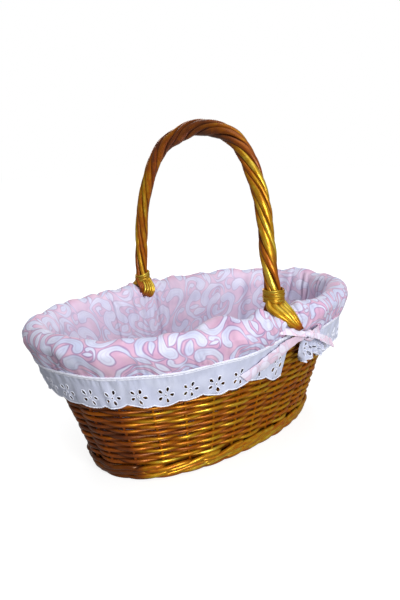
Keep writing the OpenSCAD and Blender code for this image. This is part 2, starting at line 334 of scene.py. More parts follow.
def willow_material():
    """Willow rods in worn gold paint. tone is (rod's own shade, share of gold, dirt and painted shade); the gold share
    also carries painted shade in places.
    """
    m = Nodes("willow gold")
    place, tone = m.attr("place"), m.split(m.attr("tone"))
    streak = m.noise(m.vec("MULTIPLY", place, (0.035, 0.9, 0.9)), 1.0, 4.0, 0.6)
    blotch = m.noise(m.vec("MULTIPLY", place, (0.11, 0.3, 0.3)), 1.0, 3.0, 0.55)
    speck = m.noise(m.vec("MULTIPLY", place, (0.7, 1.1, 1.1)), 1.0, 2.0)
    g = m.math("ADD", tone[1], m.math("MULTIPLY", m.math("SUBTRACT", blotch, 0.5), 0.9))
    g = m.math("ADD", g, m.math("MULTIPLY", m.math("SUBTRACT", tone[0], 0.5), 0.45))
    g = m.math("ADD", g, m.math("MULTIPLY", m.math("SUBTRACT", streak, 0.5), 0.5))
    col = m.ramp(g, [(0.0, (0.085, 0.019, 0.006)), (0.3, (0.22, 0.048, 0.004)), (0.55, (0.385, 0.104, 0.002)),
                     (0.8, (0.53, 0.280, 0.012)), (1.0, (0.70, 0.53, 0.07))])
    wear = m.remap(speck, 0.62, 0.72)
    col = m.mix(m.math("MULTIPLY", wear, 0.5), col, (0.13, 0.04, 0.01))
    # the tone's third part darkens the colour: painted shade in recesses and grooves, and a little overall dirt
    col = m.mix(1.0, col, m.ramp(tone[2], [(0.0, (0.1, 0.08, 0.07)), (1.0, (1, 1, 1))]), "MULTIPLY")
    height = m.math("ADD", streak, m.math("MULTIPLY", speck, 0.25))
    mat = m.set(Base_Color=col, Metallic=m.remap(g, 0.25, 0.95, 0.10, 0.72),
                Roughness=m.remap(streak, 0.3, 0.7, 0.22, 0.42),
                Normal=m.bump(height, 0.35, 0.0004))
    m.shader.inputs["Coat Weight"].default_value = 0.04
    m.shader.inputs["Specular Tint"].default_value = (1.0, 0.66, 0.38, 1.0)
    m.shader.inputs["Coat Roughness"].default_value = 0.22
    return mat


def weave_height(m, place, scale=1.0):
    """Plain weave, about 12 threads to the centimetre."""
    p = m.split(m.vec("MULTIPLY", place, (7.4 * scale,) * 3))
    return m.math("MULTIPLY", m.math("SINE", p[0]), m.math("SINE", p[1]))


TILE_W, TILE_H = 78.0, 70.0
# Generic comma scrolls and leaves: middle, turn in degrees, size, hand.
SCROLLS = [
    (20, 66, 68, 15.0, 1), (12, 67, 88, 14.8, -1), (1, 55, 65, 14.7, -1), (30, 57, 335, 15.1, -1),
    (45, 61, 69, 15.2, 1), (52, 47, 163, 13.8, 1), (59, 5, 233, 13.9, -1), (56, 19, 333, 12.9, 1),
    (73, 35, 157, 13.6, 1), (42, 22, 115, 13.2, -1), (6, 15, 178, 11.4, -1), (29, 25, 261, 12.6, 1),
    (19, 33, 147, 12.4, -1), (16, 68, 344, 10.0, 1), (61, 0, 94, 7.3, 1), (40, 11, 172, 7.2, 1),
    (25, 54, 15, 6.1, -1), (55, 48, 101, 6.0, 1), (69, 19, 254, 6.1, -1), (11, 48, 276, 5.7, -1),
]
LEAVES = [
    (41, 69, 248, 7.7), (43, 26, 228, 7.3), (51, 18, 209, 7.7), (36, 39, 187, 7.6), (19, 37, 254, 5.9), (21, 14, 307, 5.9),
    (47, 65, 87, 5.8), (31, 8, 140, 6.1), (27, 22, 174, 6.0), (69, 18, 266, 4.3), (40, 38, 182, 4.4), (61, 35, 194, 4.7),
    (14, 68, 167, 4.5),
]


def motif_group(leaf):
    """Signed distance, in mm, to a comma scroll with a round head and a tapered tail, or to a leaf."""
    g = bpy.data.node_groups.new("leaf" if leaf else "scroll", "ShaderNodeTree")
    for name, kind in (("P", "NodeSocketVector"), ("Middle", "NodeSocketVector"), ("Turn", "NodeSocketFloat"),
                       ("Size", "NodeSocketVector"), ("Scale", "NodeSocketFloat")):
        g.interface.new_socket(name, in_out="INPUT", socket_type=kind)
    g.interface.new_socket("D", in_out="OUTPUT", socket_type="NodeSocketFloat")
    i, o = g.nodes.new("NodeGroupInput"), g.nodes.new("NodeGroupOutput")

    def node(kind, *inputs, **props):
        n = g.nodes.new(kind)
        for k, v in props.items():
            setattr(n, k, v)
        for s, v in zip(n.inputs, inputs):
            if isinstance(v, bpy.types.NodeSocket):
                g.links.new(v, s)
            elif v is not None:
                s.default_value = v
        return n

    def far(p, c):
        return node("ShaderNodeVectorMath", p, c, operation="DISTANCE").outputs["Value"]

    def calc(op, a, b=0.0, c=0.0):
        return node("ShaderNodeMath", a, b, c, operation=op).outputs[0]

    q = node("ShaderNodeVectorMath", i.outputs["P"], i.outputs["Middle"], operation="SUBTRACT").outputs[0]
    q = node("ShaderNodeVectorMath", q, (TILE_W / 2, TILE_H / 2, 1e3), (-TILE_W / 2, -TILE_H / 2, -1e3),
             operation="WRAP").outputs[0]
    r = g.nodes.new("ShaderNodeVectorRotate")
    r.rotation_type = "Z_AXIS"
    g.links.new(q, r.inputs["Vector"])
    g.links.new(i.outputs["Turn"], r.inputs["Angle"])
    q = node("ShaderNodeVectorMath", r.outputs[0], i.outputs["Size"], operation="MULTIPLY").outputs[0]
    if leaf:
        d = calc("SMOOTH_MAX", calc("SUBTRACT", far(q, (0.92, 0, 0)), 1.3), calc("SUBTRACT", far(q, (-0.92, 0, 0)), 1.3), 0.08)
    else:
        xyz = node("ShaderNodeSeparateXYZ", q).outputs
        a = calc("FLOORED_MODULO", calc("ARCTAN2", xyz[1], xyz[0]), 2 * PI)
        off = calc("ABSOLUTE", calc("SUBTRACT", far(q, (0, 0, 0)), calc("MULTIPLY_ADD", a, 0.146, 0.46)))
        stroke = calc("ADD", off, calc("MULTIPLY_ADD", a, 0.0892, -0.33))
        head = calc("SUBTRACT", far(q, (0.44, 0, 0)), 0.33)
        d = calc("SMOOTH_MIN", stroke, head, 0.15)
    d = calc("MULTIPLY", d, i.outputs["Scale"])
    g.links.new(d, o.inputs[0])
    return g


def print_material(name, ground, light, line, strength=1.0):
    """Cotton printed with a generic repeat of scrolls and leaves, white and pale blue on pink."""
    m = Nodes(name)
    place = m.attr("place")
    tone = m.split(m.attr("tone"))
    warp = m.noise(place, 0.05, 1.0, kind="Color")
    flat = m.vec("MULTIPLY", m.vec("ADD", place, m.vec("SCALE", m.vec("SUBTRACT", warp, (0.5, 0.5, 0.5)))), (0.78, 0.78, 0))
    flat_node = flat.node.inputs[0].links[0].from_node
    flat_node.inputs[1].links[0].from_node.inputs["Scale"].default_value = 9.0
    groups = motif_group(False), motif_group(True)
    d = None
    for kind, rows in ((0, SCROLLS), (1, LEAVES)):
        for row in rows:
            x, y, turn, size = row[:4]
            hand = row[4] if kind == 0 else 1
            n = m.tree.nodes.new("ShaderNodeGroup")
            n.node_tree = groups[kind]
            m.put(n.inputs["P"], flat)
            n.inputs["Middle"].default_value = (x, y, 0)
            n.inputs["Turn"].default_value = math.radians(turn)
            n.inputs["Size"].default_value = (1 / size, hand / size, 0)
            n.inputs["Scale"].default_value = size
            d = n.outputs[0] if d is None else m.math("MINIMUM", d, n.outputs[0])
    body = m.remap(d, 0.35, -0.35, smooth=True)
    edge = m.remap(m.math("ABSOLUTE", d), 0.15, 0.75, 1.0, 0.0, smooth=True)
    wash = m.noise(place, 0.06, 2.0)
    pink = m.mix(m.remap(wash, 0.35, 0.65), ground[0], ground[1])
    white = m.mix(m.remap(m.noise(place, 0.045, 3.0), 0.35, 0.65), light[0], light[1])
    white = m.mix(m.remap(d, -3.5, -0.8, 0.0, 0.16), white, light[2])
    col = m.mix(body, pink, white)
    vein = m.remap(m.math("ABSOLUTE", m.math("ADD", d, 2.1)), 0.1, 0.6, 0.16 * strength, 0.0, smooth=True)
    col = m.mix(vein, col, line)
    col = m.mix(m.math("MULTIPLY", edge, m.remap(wash, 0.3, 0.7, 0.35 * strength, 0.85 * strength)), col, line)
    col = m.mix(m.math("MULTIPLY", tone[0], 0.42), col, (0.78, 0.74, 0.88))
    col = m.mix(1.0, col, m.ramp(tone[2], [(0.0, (0.45, 0.40, 0.50)), (1.0, (1, 1, 1))]), "MULTIPLY")
    weave = weave_height(m, place)
    slub = m.noise(m.vec("MULTIPLY", place, (0.4, 3.0, 3.0)), 1.0, 3.0)
    height = m.math("ADD", m.math("MULTIPLY", weave, 0.5), slub)
    mat = m.set(Base_Color=col, Roughness=m.remap(slub, 0.2, 0.8, 0.78, 0.92), Normal=m.bump(height, 0.22, 0.0002))
    m.shader.inputs["Specular IOR Level"].default_value = 0.25
    m.shader.inputs["Sheen Weight"].default_value = 0.12
    m.shader.inputs["Sheen Roughness"].default_value = 0.5
    return mat


def cotton_material(name, a, b, thread=1.0, rough=0.8, sheen=0.15):
    """Plain cotton with a fine weave, a little uneven. tone's third part is shade in the folds."""
    m = Nodes(name)
    place, tone = m.attr("place"), m.split(m.attr("tone"))
    wash = m.noise(place, 0.07, 3.0)
    weave = weave_height(m, place, thread)
    slub = m.noise(m.vec("MULTIPLY", place, (0.5, 4.0, 4.0)), 1.0, 3.0)
    col = m.mix(m.remap(wash, 0.35, 0.65), a, b)
    col = m.mix(m.remap(weave, -1.0, 0.2, 0.12, 0.0), col, tuple(0.7 * c for c in b))
    col = m.mix(1.0, col, m.ramp(tone[2], [(0.0, (0.42, 0.40, 0.48)), (1.0, (1, 1, 1))]), "MULTIPLY")
    height = m.math("ADD", m.math("MULTIPLY", weave, 0.6), slub)
    mat = m.set(Base_Color=col, Roughness=m.remap(slub, 0.2, 0.8, rough - 0.07, rough + 0.08),
                Normal=m.bump(height, 0.3, 0.00025))
    m.shader.inputs["Specular IOR Level"].default_value = 0.25
    m.shader.inputs["Sheen Weight"].default_value = sheen
    return mat


WILLOW = willow_material()
PRINT = print_material("liner print", ((0.70, 0.465, 0.60), (0.60, 0.365, 0.53)),
                       ((0.66, 0.67, 0.81), (0.54, 0.58, 0.77), (0.62, 0.58, 0.75)), (0.30, 0.19, 0.36))
TIE = print_material("tie print", ((0.76, 0.56, 0.67), (0.70, 0.49, 0.62)),
                     ((0.74, 0.70, 0.80), (0.66, 0.64, 0.78), (0.70, 0.62, 0.75)), (0.42, 0.28, 0.42), 0.6)
TRIM = cotton_material("eyelet cotton", (0.58, 0.61, 0.75), (0.515, 0.545, 0.695), 1.3)
THREAD = cotton_material("white thread", (0.80, 0.82, 0.92), (0.72, 0.74, 0.87), 2.4, 0.7, 0.25)

# ---------------------------------------------------------------- wicker body
rng = np.random.default_rng(11)


def face_gold_and_end_shade(s):
    """The paint is brightest on the two long sides and thin at the ends; the drop at the ends is partly painted shade
    on the end faces.
    """
    across = np.abs(outward(s)[..., 1])
    return 0.22 + 0.36 * smooth(0.55, 0.67, across) + 0.08 * smooth(0.70, 0.95, across)


def left_end_shade(s):
    """Painted shade, strongest on the left end; it darkens the low twist and foot there."""
    return smooth(0.66, 0.84, -outward(s)[..., 0])


def side_depth(verts, s, centre_d, ctr):
    """How far each vertex stands out from the side's middle line, in mm."""
    n = np.concatenate([outward(s), np.zeros((len(s), 1))], -1)[:, None, :]
    return centre_d[:, None] + ((verts - ctr[:, None, :]) * n).sum(-1)


def side_gold(verts, s, centre_d, ctr, lift=0.0):
    """Share of gold per vertex: high where the rod faces outward, low in the gaps."""
    d = side_depth(verts, s, centre_d, ctr)
    return (face_gold_and_end_shade(s)[:, None] + lift) * (0.66 + 0.34 * smooth(-2.0, 4.2, d))


b = Build()
for i in range(ROWS):
    start = (rng.integers(0, STAKES // 2) * 2 + (i % 2) + 0.5 + 1) / STAKES
    s = start + np.linspace(0, 1 + 0.35 / STAKES, STAKES * 9 + 4)
    f = (s - start) / (s[-1] - start)
    wob, sway, thick = Loop(100 + i, 3, 14), Loop(200 + i, 5, 20), Loop(300 + i, 2, 12)
    c = np.cos(PI * (STAKES * s - 0.5 + i))
    r = (1.92 + 0.07 * rng.normal()) * (1.04 - 0.10 * f) * (1 + 0.05 * thick(s))
    d = np.tanh(1.1 * c) / math.tanh(1.1) * 2.0 + 0.25 * sway(s)
    z = 18.4 + 3.47 * i + 0.32 * wob(s) + 0.24 * d
    p = woven_pt(s, d, z)
    # the tone's third part makes the rods darker in the gaps between uprights: painted shade
    sweep(b, p, r, 8, tone=(np.clip(0.5 + 0.28 * rng.normal(), 0, 1), 0.5, 0.97),
          gold=lambda v: side_gold(v, s, d, p), painted_shade_map=lambda v: 0.48 + 0.52 * smooth(-0.5, 3.3, side_depth(v, s, d, p)))
make("side_weave", b, WILLOW, ("outer_weave", "inner_weave"))

b = Build()
for k in range(STAKES):
    s = (k + 0.5) / STAKES
    z = np.linspace(3.2, 133, 40)
    lean = Loop(400 + k, 1, 3)
    p = pt(s + 0.0006 * lean(z / 130), 0.25 * lean(z / 90), z)
    sweep(b, p, 1.35 * (1.05 - 0.12 * (z / 133)), 10, ref=(*outward(s), 0), tone=(rng.uniform(0.3, 0.7), 0.9 * face_gold_and_end_shade(s), 0.95))
make("uprights", b, WILLOW, ("side_stakes",))

b = Build()
for turn, (zc, thick, amp, out) in enumerate(((7.0, 2.45, 1.9, 3.7), (12.4, 2.35, 2.3, 4.0))):
    for k in range(3):
        s = np.linspace(0, 1, 300, endpoint=False)
        x = np.mod(27 * s + k + 1.37 * turn + 0.3 * Loop(540 + 10 * turn + k, 2, 6)(s), 3)
        c = np.cos(2 * PI * x / 3)
        wob = Loop(500 + 10 * turn + k, 4, 18)
        d = out - 7.6 * smooth(0.2, 1.0, c) + 0.55 * wob(s)
        z = zc + amp * np.sin(2 * PI * (x - 1.5) / 3) + 0.6 * wob(s + 0.3)
        p = woven_pt(s, d, np.maximum(z, 2.2 + thick), 0.3)
        # the tone's third part darkens the rods in the gaps and on the left end: painted shade
        sweep(b, p, thick * (1 + 0.10 * Loop(520 + 10 * turn + k, 2, 9)(s)), 8, closed=True,
              tone=(rng.uniform(0.3, 0.85), 0.5, 1.0), gold=lambda v: side_gold(v, s, d, p, 0.06),
              painted_shade_map=lambda v: (0.18 + 0.82 * smooth(1.8, 5.0, side_depth(v, s, d, p))) * (1 - 0.56 * left_end_shade(s))[:, None])
# two rods lie behind the uprights and close the side to the base; their tone is darkened as painted shade behind the
# uprights
for k, zc in enumerate((9.4, 15.0)):
    s = np.linspace(0, 1, 300, endpoint=False)
    wob = Loop(560 + k, 4, 18)
    p = pt(s, -3.5 + 0.2 * wob(s), zc + 0.3 * wob(s + 0.4))
    sweep(b, p, 2.3, 8, closed=True, tone=(0.45, 0.34, 0.62))
make("bottom_twist", b, WILLOW, ("bottom_wale",))

b = Build()
# each upright's lower end is turned along the foot, before two and behind one
for k in range(STAKES):
    j = rng.normal(size=6)
    r = 1.95 + 0.12 * j[0]
    stop = 2.75 + 0.25 * j[1]
    rows = [(0.0, -0.6, 7.5), (0.25, 1.6, 4.6), (0.8, 3.0 + 0.4 * j[2], 2.6), (1.35, 2.4, 2.35), (1.85, -0.6, 2.5),
            (2.3, -3.4 + 0.4 * j[3], 3.0), (stop, -5.6, 3.9)]
    q = np.array([pt((k + 0.5 + a) / STAKES, d, max(z, r + 0.25)) for a, d, z in rows])
    p = spline(q, 40)
    p[:, 2] = np.maximum(p[:, 2], 1.06 * r + 0.15)
    # the plait is less gilded and darker at the left end: painted shade
    shade_strength = float(left_end_shade((k + 1.5) / STAKES))
    sweep(b, p, r * np.interp(np.linspace(0, 1, 40), [0, 0.8, 1], [1.0, 0.95, 0.72]), 8,
          tone=(rng.uniform(0.3, 0.7), 0.48 - 0.22 * shade_strength, 0.92 - 0.52 * shade_strength))
make("foot_plait", b, WILLOW, ("foot_border",))

b = Build()
for k in range(5):
    s = np.linspace(0, 1, 560, endpoint=False)
    a = 2 * PI * (17 * s + k / 5)
    p = pt(s, 4.9 * np.cos(a), RIM_Z + 4.9 * np.sin(a))
    sweep(b, p, 2.9, 8, closed=True, tone=(rng.uniform(0.3, 0.7), 0.5, 0.95))
make("rolled_border", b, WILLOW, ("rim_border",))


# ---------------------------------------------------------------- base
def half_x(y):
    return (BASE_A - 5) * (1 - (abs(y) / (BASE_B - 5)) ** OVAL_N) ** (1 / OVAL_N)


def half_y(x):
    return (BASE_B - 5) * (1 - (abs(x) / (BASE_A - 5)) ** OVAL_N) ** (1 / OVAL_N)


LONG_Y = [(i - 2) * 12.0 for i in range(5)]
CROSS_X = [(i - 4) * 22.0 for i in range(9)]
b = Build()
for y in LONG_Y:
    x = np.linspace(-half_x(y), half_x(y), 60)
    w = Loop(600 + int(y), 1, 4)
    sweep(b, np.stack([x, y + 0.25 * w(x / 260), STICK_Z + 0.1 * w(x / 200)], -1), 2.3 * (1 - 0.06 * x / 140), 12,
          tone=(rng.uniform(0.3, 0.7), 0.42, 0.9))
make("long_sticks", b, WILLOW, ("base_long_sticks",))
b = Build()
for x in CROSS_X:
    y = np.linspace(-half_y(x), half_y(x), 44)
    w = Loop(650 + int(x), 1, 4)
    sweep(b, np.stack([x + 0.3 * w(y / 140), y, STICK_Z + 0 * y], -1), 3.45 * (1 - 0.05 * y / 70), 14,
          tone=(rng.uniform(0.3, 0.7), 0.45, 0.9))
make("cross_sticks", b, WILLOW, ("base_cross_sticks",))

b = Build()
ring = 0
for inset in np.arange(6.4, 66.6, 3.62):
    s = np.linspace(0, 1, 720, endpoint=False)
    keep = 1 - (inset - 6) / 63
    ex, ey = BASE_A - inset, BASE_B - inset
    xy = polar(ex, ey, 2.0 + 0.3 * keep, 2 * PI * s)
    nxt = np.roll(xy, -1, 0)
    hits = np.zeros(len(s))
    for x in CROSS_X:
        hits += (xy[:, 0] - x) * (nxt[:, 0] - x) <= 0
    for y in LONG_Y:
        hits += (xy[:, 1] - y) * (nxt[:, 1] - y) <= 0
    at = np.repeat(np.arange(len(s)), np.minimum(hits, 1).astype(int))
    if len(at) % 2:
        at = at[:-1]
    count = np.interp(np.arange(len(s)), np.concatenate([[at[-1] - len(s)], at, [at[0] + len(s)]]),
                      np.arange(-1, len(at) + 1))
    z = STICK_Z + 4.5 * np.cos(PI * (count + ring)) + 0.15 * Loop(700 + ring, 3, 9)(s)
    p = np.concatenate([xy, z[:, None]], -1)
    sweep(b, p[::2], 1.65, 7, closed=True, ref=(0.01, 0.02, 1), tone=(np.clip(0.5 + 0.2 * rng.normal(), 0, 1), 0.42, 0.85))
    ring += 1
make("base_weave", b, WILLOW, ("base_weave_under", "base_weave_top"))

# ---------------------------------------------------------------- handle
BOW_W, BOW_TOP, BOW_Z, BOW_N = 100.0, 325.0, 150.0, 2.4


def bow(t):
    p = polar(BOW_W, BOW_TOP - BOW_Z, BOW_N, t)
    return np.stack([np.zeros_like(p[..., 0]), -p[..., 0], BOW_Z + p[..., 1]], -1)


def lean(p):
    """The bow stands a little askew, and its near leg is drawn in."""
    p = np.array(p, float)
    near, far = np.clip(-p[..., 1] / 100, 0, 1), np.clip(p[..., 1] / 100, 0, 1)
    p[..., 0] += -3.0 * near + 1.5 * far
    p[..., 1] += 4.5 * near * bell(p[..., 2], 212, 40)
    shoulder = bell(p[..., 1], -62, 24) * smooth(268, 300, p[..., 2])
    p[..., 1] -= 2.0 * shoulder
    p[..., 2] += 1.8 * shoulder - 3.3 * bell(p[..., 1], 28, 16) * smooth(268, 300, p[..., 2])
    return p


bt = np.radians(np.linspace(5.2, 174.8, 481))
bc = lean(bow(bt))
bf = unit(np.gradient(bc, axis=0))
bl = np.concatenate([[0], np.cumsum(np.linalg.norm(np.diff(bc, axis=0), axis=1))])
bq = bl / bl[-1]
pitch = np.interp(bq, [0, 0.28, 0.5, 0.68, 1], [112, 118, 110, 125, 190])
turn = -np.concatenate([[0], np.cumsum(np.diff(bl) * 2 * PI / pitch[1:])])
girth = np.interp(bq, [0, 0.1, 0.25, 0.38, 0.5, 0.62, 0.75, 0.92, 1], [1.0, 1.05, 1.03, 1.08, 1.13, 1.05, 0.97, 0.92, 0.90])
ux = np.array([1.0, 0, 0])
bu = unit(ux - (bf @ ux)[:, None] * bf)
bv = np.cross(bf, bu)
# worn to brown wood on the far leg
bow_gold = np.interp(bq, [0, 0.24, 0.37, 0.42, 0.46, 0.57, 0.62, 0.68, 0.76, 0.84, 0.92, 1],
                     [0.87, 0.78, 0.55, 0.42, 0.31, 0.33, 0.44, 0.62, 0.72, 0.70, 0.66, 0.72])
# half widths of the strands round the rod
WIDE = [3.2, 2.5, 3.4, 2.2, 3.0, 2.7]
first = np.cumsum(WIDE) - np.array(WIDE) / 2
b = Build()
for k, wide in enumerate(WIDE):
    lump = Loop(800 + k, 2, 9)
    w = turn + 2 * PI * first[k] / sum(WIDE) + 0.10 * Loop(820 + k, 1, 5)(bq)
    rr = (5.35 + 0.35 * Loop(840 + k, 2, 8)(bq)) * girth
    p = bc + rr[:, None] * (np.cos(w)[:, None] * bu + np.sin(w)[:, None] * bv)
    shade = np.clip(bow_gold + 0.13 * rng.normal(), 0.1, 1)
    thick = 2.25 + 0.12 * rng.normal()

    def depth(v):
        return smooth(5.4, 7.6, np.linalg.norm(v - bc[:, None, :], axis=-1) / girth[:, None])

    def inner_side_shade(v):
        away = unit(v - bc[:, None, :])
        towards = unit(np.array([-25.0, 0.0, 190.0]) - bc)[:, None, :]
        return smooth(0.0, 0.75, (away * towards).sum(-1))

    # the strands carry less gold and a darker third tone part in the grooves between them and on the bow's underside:
    # painted shade; the third part is also darker just before the top of the bow
    sweep(b, p, thick * girth * (1 + 0.09 * lump(bq)), 12, ref=unit(p - bc), squash=wide / thick * 1.06,
          tone=(rng.uniform(0.3, 0.7), 0.5, 1.0), gold=lambda v: shade[:, None] * (0.52 + 0.48 * depth(v)) * (1 - 0.30 * inner_side_shade(v) * (1 - 0.5 * smooth(0.62, 0.72, bq))[:, None]),
          painted_shade_map=lambda v: (0.20 + 0.80 * depth(v)) * (1 - 0.26 * bell(bq, 0.44, 0.075))[:, None])
make("handle_strands_roped", b, WILLOW, ("handle_strands",))

foot_y = BOW_W - 5.5


def gap_y(z):
    return side(0.25, z)[1]


b = Build()
end = np.array([[2, gap_y(60), 60], [2, gap_y(118), 118], [2, gap_y(130) - 1.0, 130], [2, foot_y + 6.5, 136],
                [2, foot_y + 3.2, 140], [2, foot_y + 1.6, 145], [0, foot_y + 2.5, 151]], float)
end_r = [1.2, 1.8, 1.8, 1.8, 2.0, 2.4, 3.1]
path = np.vstack([end * [-1, -1, 1], bc[::9], end[::-1]])
sweep(b, path, np.concatenate([end_r, np.full(len(bc[::9]), 4.0), end_r[::-1]]), 10, ref=ux, tone=(0.4, 0.2, 0.7))
make("bow_rod", b, WILLOW, ("handle_core",))


def collar(name, node, sgn, turns, rod, width, radius, tilt, gold, shift, slope=0.0):
    b = Build()
    c0 = bow(np.radians(7.0)) + np.array(shift)
    f = unit(bow(np.radians(8.0)) - bow(np.radians(6.0)))
    v = np.cross(f, ux)
    a = np.linspace(0, 2 * PI * turns, int(28 * turns))
    wob = Loop(900 + turns, 3, 11)
    r = radius + 0.22 * wob(a / 23.0)
    lift = (a / a[-1] - 0.5) * width + tilt * np.sin(a) + slope * np.cos(a) + 0.35 * wob(a / 17.0 + 0.4)
    p = c0 + f * lift[:, None] + r[:, None] * (np.cos(a)[:, None] * ux + np.sin(a)[:, None] * v)
    p = p * np.array([1, sgn, 1])
    sweep(b, p, rod * (1 + 0.08 * wob(a / 9.0)), 8, ref=unit(p - c0 * np.array([1, sgn, 1])), tone=(0.5, gold, 0.70))
    return make(name, b, WILLOW, (node,))


collar("near_binding", "near_collar", 1, 9, 1.05, 11.5, 9.6, 0.6, 0.80, (-4.2, 0, 2.5))
collar("far_binding", "far_collar", -1, 3, 1.35, 7.8, 7.4, 0.8, 0.92, (2.2, 0, 0.4), 2.8)


def lashing(name, node, sgn, rows, gold, shade_strength=0.0):
    b = Build()
    # each row's third entry scales its gold share; the low value of the back layer is painted shade
    for pts, radii, layer_shade in rows:
        n = 34
        p = spline(pts, n) * np.array([1, sgn, 1])
        u = np.linspace(0, 1, len(radii))
        shade = layer_shade * np.interp(np.linspace(0, 1, n), [0, 0.6, 0.85, 1], [gold, gold, 0.75 * gold, 0.12])

        # the gold share is lower on each rod's sides turned away from the basket's inside, from above and from -x:
        # painted shade
        def gold_with_side_shade(v):
            face = (unit(v - p[:, None, :]) * np.array([-0.45, -0.80 * np.sign(-sgn), 0.40])).sum(-1)
            return shade[:, None] * (1 - shade_strength * (1 - smooth(0.3, 0.95, face)))

        sweep(b, p, np.interp(np.linspace(0, 1, n), u, radii), 10, ref=ux, tone=(rng.uniform(0.4, 0.7), gold, 0.98), gold=gold_with_side_shade)
    return make(name, b, WILLOW, (node,))


def outer_rows(turn, fan):
    rows = []
    for k in (-2, -1, 0, 1, 2):
        up = 0.9 * (4 - k * k) * 0.5
        rows.append(([(3.0 * k - 3.0, -98.5, 164), (5.5 * k * fan - 4.0, -103 - up, 156.0 + up), (5.3 * k * fan - 4.8, -109.5 - up, 151.5 + up),
                      (4.3 * k * fan - 3.0, -116.5 - up, 146.0 + up), (2.7 * k + 0.3, -122.3 - 0.5 * up, 139.0 + 0.5 * up),
                      (0.8 * k + 4.0, -126.8, 133.6)], [2.4, 3.0, 3.0, 2.7, 2.1, 1.0]))
    for k in (-1.5, -0.5, 0.5, 1.5):
        rows.append(([(4.0 * k - 3.0, -96.0, 159), (5.6 * k * fan - 4.0, -101.5, 152.5), (5.2 * k * fan - 4.5, -109, 149.0),
                      (4.2 * k * fan - 2.6, -116, 142.8), (2.6 * k + 0.4, -121.0, 136.5), (0.6 * k + 4.0, -125.4, 132.6)],
                     [2.2, 2.6, 2.3, 2.0, 1.6, 0.8]))
    return [([(turn * x, y, z) for x, y, z in pts], r, 1.0) for pts, r in rows]


def inner_rows(x0):
    """The rods inside: they slant and are tucked away short, over a back layer painted darker as shade."""
    rows = []
    for k in (-2, -1, 0, 1, 2):
        up = 0.4 * (4 - k * k) * 0.5
        rows.append(([(2.6 * k + x0 + 2.0, -97.0, 158), (3.0 * k + x0 + 2.6, -93.6 + up, 152.5 - 0.3 * k), (3.2 * k + x0 + 2.2, -91.6 + up, 148.5 - 0.6 * k),
                      (3.2 * k + x0 + 1.2, -91.2 + up, 144.6 - 0.9 * k), (2.9 * k + x0 + 0.2, -93.0, 141.0 - 1.2 * k),
                      (2.5 * k + x0 - 0.6, -97.0, 138.6 - 1.3 * k)], [1.2, 1.45, 1.5, 1.5, 1.4, 1.1], 1.1))
    for k in (-3.6, -2.9, -2.2, -1.4, -0.5, 0.5, 1.4, 2.2):
        rows.append(([(2.6 * k + x0 + 0.4, -100.0, 161), (2.9 * k + x0 + 1.0, -97.0, 155), (2.9 * k + x0 + 1.8, -95.0, 149.8 - 0.4 * k),
                      (2.7 * k + x0 + 1.6, -94.6, 145.6 - 0.8 * k), (2.4 * k + x0 + 1.0, -95.8, 141.4 - 1.1 * k),
                      (2.2 * k + x0 + 0.4, -98.8, 138.6 - 1.2 * k)], [1.8, 1.9, 1.9, 1.9, 1.7, 1.3], 0.42))
    return rows


lashing("near_outer_rods", "near_outer_lashing", 1, outer_rows(1, 1.0), 0.9)
lashing("near_inner_rods", "near_inner_lashing", 1, inner_rows(-2.0), 0.80, 0.45)
lashing("far_outer_rods", "far_outer_lashing", -1, outer_rows(-1, 0.72), 0.8)
lashing("far_inner_rods", "far_inner_lashing", -1, inner_rows(3.0), 0.85, 0.55)


# ---------------------------------------------------------------- liner
def from_foot(s):
    """Distance in mm along the rim from the nearer handle foot."""
    return np.abs(np.mod(np.asarray(s, float), 0.5) - 0.25) * GIRTH


seam_wob, hem_wob, crest_wob = Loop(21, 4, 16), Loop(22, 4, 14), Loop(23, 5, 22)


def seam_z(s):
    return SEAM_Z + 0.7 * seam_wob(s) + 7.0 * (1 - smooth(0, 62, from_foot(s)))


def hem_z(s):
    f = (np.mod(np.asarray(s, float), 0.5) - 0.25) * GIRTH
    ends = np.where(f < 14, -5.0 * (1 - smooth(8, 50, np.abs(f))), 7.0 * (1 - smooth(34, 84, f)))
    return HEM_Z + 1.6 * hem_wob(s) + ends - 2.2 * bell(np.mod(s, 1), 0.598, 0.014) + 1.6 * bell(np.mod(s, 1), 0.572, 0.010)


def lift_at(s):
    """How far the crest stands above its usual height."""
    s = np.mod(s, 1)
    near = (s - 0.75) * GIRTH
    far = (s - 0.25) * GIRTH
    left_lobe = 8.0 * bell(near, -25, 10)
    under = np.where(near < 0, -3.6 * (1 - smooth(9, 15, -near)), -1.5 * (1 - smooth(6, 12, near)))
    under = np.where(np.abs(near) < 60, under, 0)
    right_lobe = 4.2 * bell(near, 19, 11)
    ear = 4.6 * bell(far, -23, 4.6) + 5.6 * bell(far, -13.5, 3.0)
    return (left_lobe + under + right_lobe + ear + 1.8 * (1 - smooth(10, 26, np.abs(far))) + 7.5 * bell(s, 0.684, 0.013)
            - 2.0 * bell(s, 0.660, 0.010) - 1.8 * bell(s, 0.309, 0.004) + 1.2 * bell(s, 0.318, 0.006) + 1.6 * bell(s, 0.02, 0.012))


def profile(s):
    """The panel's line at s, as [d, z] points from the seam over the border to the floor."""
    zs = seam_z(s)
    top = 0.9 * crest_wob(s) + lift_at(s)
    return np.array([[9.4, zs], [11.0, zs + 6.0], [11.9, 132.5], [11.2, 141.0], [7.4, 148.0 + 0.7 * top], [1.0, 151.2 + top],
                     [-5.6, 149.0 + 0.7 * top], [-9.9, 143.0], [-11.2, 135.0], [-9.4, 126.5], [-7.7, 115.0], [-7.3, 80.0],
                     [-7.3, 45.0], [-7.6, 16.2]])


